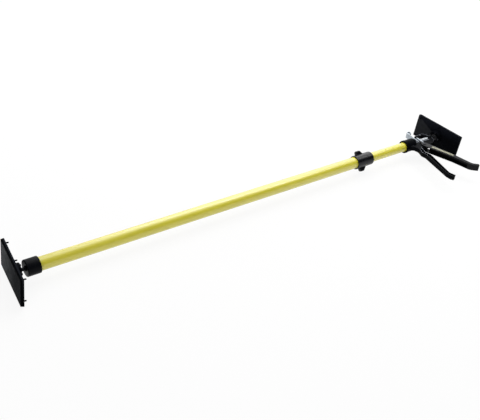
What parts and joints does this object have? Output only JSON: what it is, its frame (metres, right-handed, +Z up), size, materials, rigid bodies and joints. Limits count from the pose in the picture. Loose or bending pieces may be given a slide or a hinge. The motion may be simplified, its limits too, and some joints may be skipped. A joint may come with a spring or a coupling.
{
  "type": "drywall support prop",
  "caption": "Telescopic support prop: twist-locked yellow tubes, pump handle head with a sliding rod, and a black swivel plate at each end.",
  "frame": {"origin": "where the prop's axis meets the foot plate's contact face", "axes": "+X along the tubes from foot to head, handles toward -Y, +Z up with the prop lying on the plates' long edges"},
  "size_m": [1.6204, 0.3211, 0.0928],
  "materials": {
    "tube_paint": "yellow powder coat on steel tube",
    "black_plastic": "black moulded glass-filled nylon",
    "black_lever": "black moulded lever, slight sheen",
    "grey_plastic": "dark acetal, hidden sliding pieces",
    "pad_rubber": "dark grey non-slip pad",
    "black_steel": "blackened steel",
    "zinc_steel": "bright zinc plate",
    "spring_steel": "bright spring wire",
    "strip_film": "plain pale film, no print"
  },
  "bodies": {
    "lower": {"outer_tube": "tube_paint", "foot_collar": "black_plastic", "foot_rivet": "zinc_steel", "foot_ball_stud": "black_steel", "foot_nut": "zinc_steel", "clamp_sleeve": "grey_plastic", "jam_ring": "grey_plastic"},
    "twist": {"twist_collar": "black_plastic"},
    "guide": {"guide_ring": "grey_plastic"},
    "upper": {"inner_tube": "tube_paint", "tube_plug": "grey_plastic", "head_frame": "black_plastic", "head_rivet": "zinc_steel", "rod_bush": "zinc_steel", "trigger_pin": "zinc_steel", "pin_clip": "zinc_steel", "return_spring": "spring_steel", "release_spring": "spring_steel"},
    "rod": {"push_rod": "zinc_steel", "rod_stop": "zinc_steel", "head_ball_stud": "black_steel"},
    "lever": {"trigger": "black_lever", "trigger_strip": "strip_film"},
    "drive": {"drive_plate": "zinc_steel"},
    "release": {"release_plate": "zinc_steel"},
    "foot_socket": {"foot_liner": "grey_plastic"},
    "foot": {"foot_plate": "black_plastic", "foot_pad": "pad_rubber", "foot_retainer": "black_plastic", "foot_screws": "zinc_steel"},
    "head_socket": {"head_liner": "grey_plastic"},
    "head": {"head_plate": "black_plastic", "head_pad": "pad_rubber", "head_retainer": "black_plastic", "head_screws": "zinc_steel"}
  },
  "joints": [
    {"name": "twist_lock", "type": "hinge", "parent": "lower", "child": "twist", "pos_m": [1.22, 0, 0], "axis": [1, 0, 0], "range_deg": [0, 110]},
    {"name": "telescope", "type": "slide", "parent": "lower", "child": "guide", "axis": [1, 0, 0], "range_m": [-0.155, 0.9]},
    {"name": "tube_turn", "type": "hinge", "parent": "guide", "child": "upper", "pos_m": [1, 0, 0], "axis": [1, 0, 0], "continuous": true},
    {"name": "rod_slide", "type": "slide", "parent": "upper", "child": "rod", "axis": [1, 0, 0], "range_m": [-0.005, 0.2]},
    {"name": "trigger_squeeze", "type": "hinge", "parent": "upper", "child": "lever", "pos_m": [1.486, -0.03, 0], "axis": [0, 0, -1], "range_deg": [0, 28], "stiffness_Nm_per_rad": 1.2, "springref_deg": -17.19},
    {"name": "drive_stroke", "type": "slide", "parent": "upper", "child": "drive", "axis": [1, 0, 0], "range_m": [0, 0.0085], "deforming": ["return_spring", "release_spring"]},
    {"name": "release_pull", "type": "hinge", "parent": "upper", "child": "release", "pos_m": [1.48205, 0.015, 0], "axis": [0, 0, 1], "range_deg": [0, 7], "stiffness_Nm_per_rad": 0.6, "springref_deg": -11.46, "deforming": ["release_spring"]},
    {"name": "foot_turn", "type": "hinge", "parent": "lower", "child": "foot_socket", "pos_m": [0.02018, 0, 0], "axis": [0, 0, 1], "range_deg": [-16.8, 31.2]},
    {"name": "foot_tip", "type": "hinge", "parent": "foot_socket", "child": "foot", "pos_m": [0.02018, 0, 0], "axis": [0.1253, 0.9921, 0], "range_deg": [-26.6, 21.4]},
    {"name": "head_turn", "type": "hinge", "parent": "rod", "child": "head_socket", "pos_m": [1.57585, 0, 0], "axis": [0, 0, 1], "range_deg": [-31, 17]},
    {"name": "head_tip", "type": "hinge", "parent": "head_socket", "child": "head", "pos_m": [1.57585, 0, 0], "axis": [0.1219, -0.9925, 0], "range_deg": [-23.2, 24.8]}
  ],
  "couplings": [
    {"joint": "drive_stroke", "follows": "trigger_squeeze", "m_per_rad": 0.017}
  ]
}
